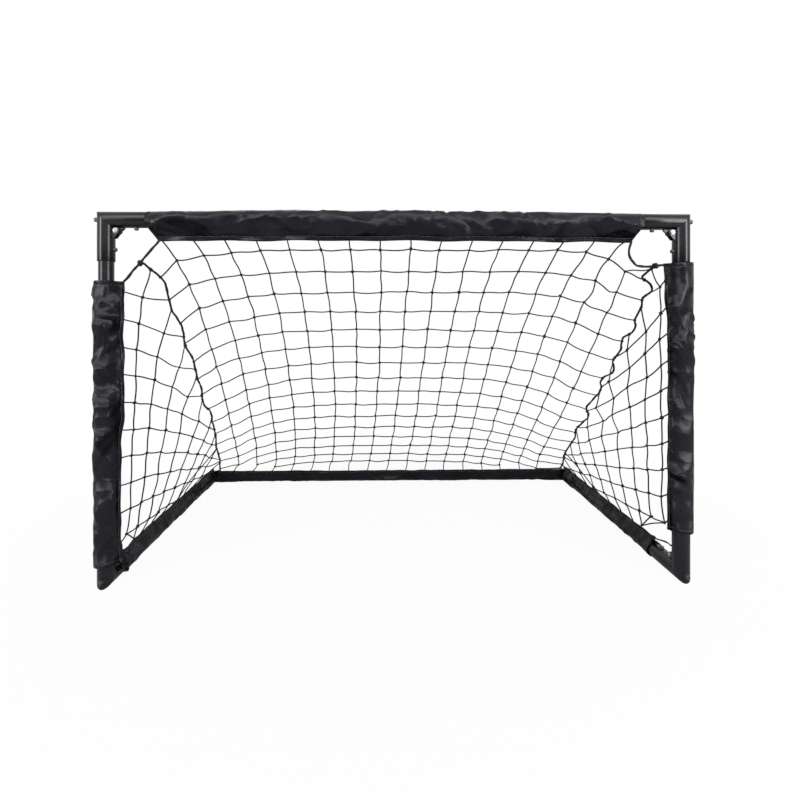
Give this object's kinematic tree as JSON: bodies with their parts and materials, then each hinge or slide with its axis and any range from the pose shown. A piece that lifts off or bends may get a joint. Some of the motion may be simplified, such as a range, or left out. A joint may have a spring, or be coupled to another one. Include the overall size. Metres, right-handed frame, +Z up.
{
  "type": "folding floorball goal",
  "caption": "Folding floorball goal: hinged black steel tube frame, nylon sleeves over the tubes and a knotted net that slopes from the crossbar to the back ground bar.",
  "frame": {"origin": "middle of the footprint, on the floor", "axes": "+X along the crossbar to the right as seen from the mouth, +Y from the mouth into the goal, +Z up"},
  "size_m": [1.214, 0.6012, 0.7549],
  "materials": {
    "powder_coat": "black powder coat, semi gloss",
    "zinc": "zinc plated",
    "dark_steel": "dark oxide, smooth",
    "nylon": "coated woven nylon, low sheen",
    "rope": "black braided cord",
    "twine": "dark twisted twine"
  },
  "bodies": {
    "base_frame": {"back_tube": "powder_coat", "back_sleeve": "nylon", "main_net": "twine", "left_ground_leg": "powder_coat", "left_side_tube": "powder_coat", "left_rear_elbow": "powder_coat", "left_foot_hinge_bolt": "zinc", "left_foot_hinge_nut": "zinc", "left_ground_sleeve": "nylon", "left_side_net": "twine", "left_edge_rope": "rope", "left_foot_tie": "rope", "right_ground_leg": "powder_coat", "right_side_tube": "powder_coat", "right_rear_elbow": "powder_coat", "right_foot_hinge_bolt": "zinc", "right_foot_hinge_nut": "zinc", "right_ground_sleeve": "nylon", "right_side_net": "twine", "right_edge_rope": "rope", "right_foot_tie": "rope"},
    "front_frame": {"crossbar_tube": "powder_coat", "crossbar_sleeve": "nylon", "left_post_tube": "powder_coat", "left_crossbar_leg": "powder_coat", "left_post_top_leg": "powder_coat", "left_post_foot_leg": "powder_coat", "left_top_hinge_bolt": "zinc", "left_top_hinge_nut": "zinc", "left_post_sleeve": "nylon", "left_corner_rope": "rope", "right_post_tube": "powder_coat", "right_crossbar_leg": "powder_coat", "right_post_top_leg": "powder_coat", "right_post_foot_leg": "powder_coat", "right_top_hinge_bolt": "zinc", "right_top_hinge_nut": "zinc", "right_post_sleeve": "nylon", "right_corner_rope": "rope"},
    "left_crossbar_button": {"left_crossbar_button": "dark_steel"},
    "left_post_top_button": {"left_post_top_button": "dark_steel"},
    "left_post_foot_button": {"left_post_foot_button": "dark_steel"},
    "left_ground_button": {"left_ground_button": "dark_steel"},
    "left_top_lock_pin": {"left_top_lock_pin": "dark_steel"},
    "left_foot_lock_pin": {"left_foot_lock_pin": "dark_steel"},
    "right_crossbar_button": {"right_crossbar_button": "dark_steel"},
    "right_post_top_button": {"right_post_top_button": "dark_steel"},
    "right_post_foot_button": {"right_post_foot_button": "dark_steel"},
    "right_ground_button": {"right_ground_button": "dark_steel"},
    "right_top_lock_pin": {"right_top_lock_pin": "dark_steel"},
    "right_foot_lock_pin": {"right_foot_lock_pin": "dark_steel"}
  },
  "joints": [
    {"name": "front_frame_fold", "type": "hinge", "parent": "base_frame", "child": "front_frame", "pos_m": [0, -0.25507, 0.0385], "axis": [-1, 0, 0], "range_deg": [0, 82], "deforming": ["main_net", "left_side_net", "right_side_net", "left_edge_rope", "right_edge_rope", "left_foot_tie", "right_foot_tie"]},
    {"name": "left_crossbar_button_press", "type": "slide", "parent": "front_frame", "child": "left_crossbar_button", "axis": [0, 0, 1], "range_m": [0, 0.005], "stiffness_N_per_m": 200, "springref_m": -0.004},
    {"name": "left_post_top_button_press", "type": "slide", "parent": "front_frame", "child": "left_post_top_button", "axis": [-1, 0, 0], "range_m": [0, 0.005], "stiffness_N_per_m": 200, "springref_m": -0.004},
    {"name": "left_post_foot_button_press", "type": "slide", "parent": "front_frame", "child": "left_post_foot_button", "axis": [0, -1, 0], "range_m": [0, 0.005], "stiffness_N_per_m": 200, "springref_m": -0.004},
    {"name": "left_ground_button_press", "type": "slide", "parent": "base_frame", "child": "left_ground_button", "axis": [0, 0, -1], "range_m": [0, 0.005], "stiffness_N_per_m": 200, "springref_m": -0.004},
    {"name": "left_top_lock_pin_press", "type": "slide", "parent": "front_frame", "child": "left_top_lock_pin", "axis": [1, 0, 0], "range_m": [0, 0.006], "stiffness_N_per_m": 200, "springref_m": -0.004},
    {"name": "left_foot_lock_pin_press", "type": "slide", "parent": "front_frame", "child": "left_foot_lock_pin", "axis": [0, 1, 0], "range_m": [0, 0.006], "stiffness_N_per_m": 200, "springref_m": -0.004},
    {"name": "right_crossbar_button_press", "type": "slide", "parent": "front_frame", "child": "right_crossbar_button", "axis": [0, 0, 1], "range_m": [0, 0.005], "stiffness_N_per_m": 200, "springref_m": -0.004},
    {"name": "right_post_top_button_press", "type": "slide", "parent": "front_frame", "child": "right_post_top_button", "axis": [1, 0, 0], "range_m": [0, 0.005], "stiffness_N_per_m": 200, "springref_m": -0.004},
    {"name": "right_post_foot_button_press", "type": "slide", "parent": "front_frame", "child": "right_post_foot_button", "axis": [0, -1, 0], "range_m": [0, 0.005], "stiffness_N_per_m": 200, "springref_m": -0.004},
    {"name": "right_ground_button_press", "type": "slide", "parent": "base_frame", "child": "right_ground_button", "axis": [0, 0, -1], "range_m": [0, 0.005], "stiffness_N_per_m": 200, "springref_m": -0.004},
    {"name": "right_top_lock_pin_press", "type": "slide", "parent": "front_frame", "child": "right_top_lock_pin", "axis": [-1, 0, 0], "range_m": [0, 0.006], "stiffness_N_per_m": 200, "springref_m": -0.004},
    {"name": "right_foot_lock_pin_press", "type": "slide", "parent": "front_frame", "child": "right_foot_lock_pin", "axis": [0, 1, 0], "range_m": [0, 0.006], "stiffness_N_per_m": 200, "springref_m": -0.004}
  ]
}
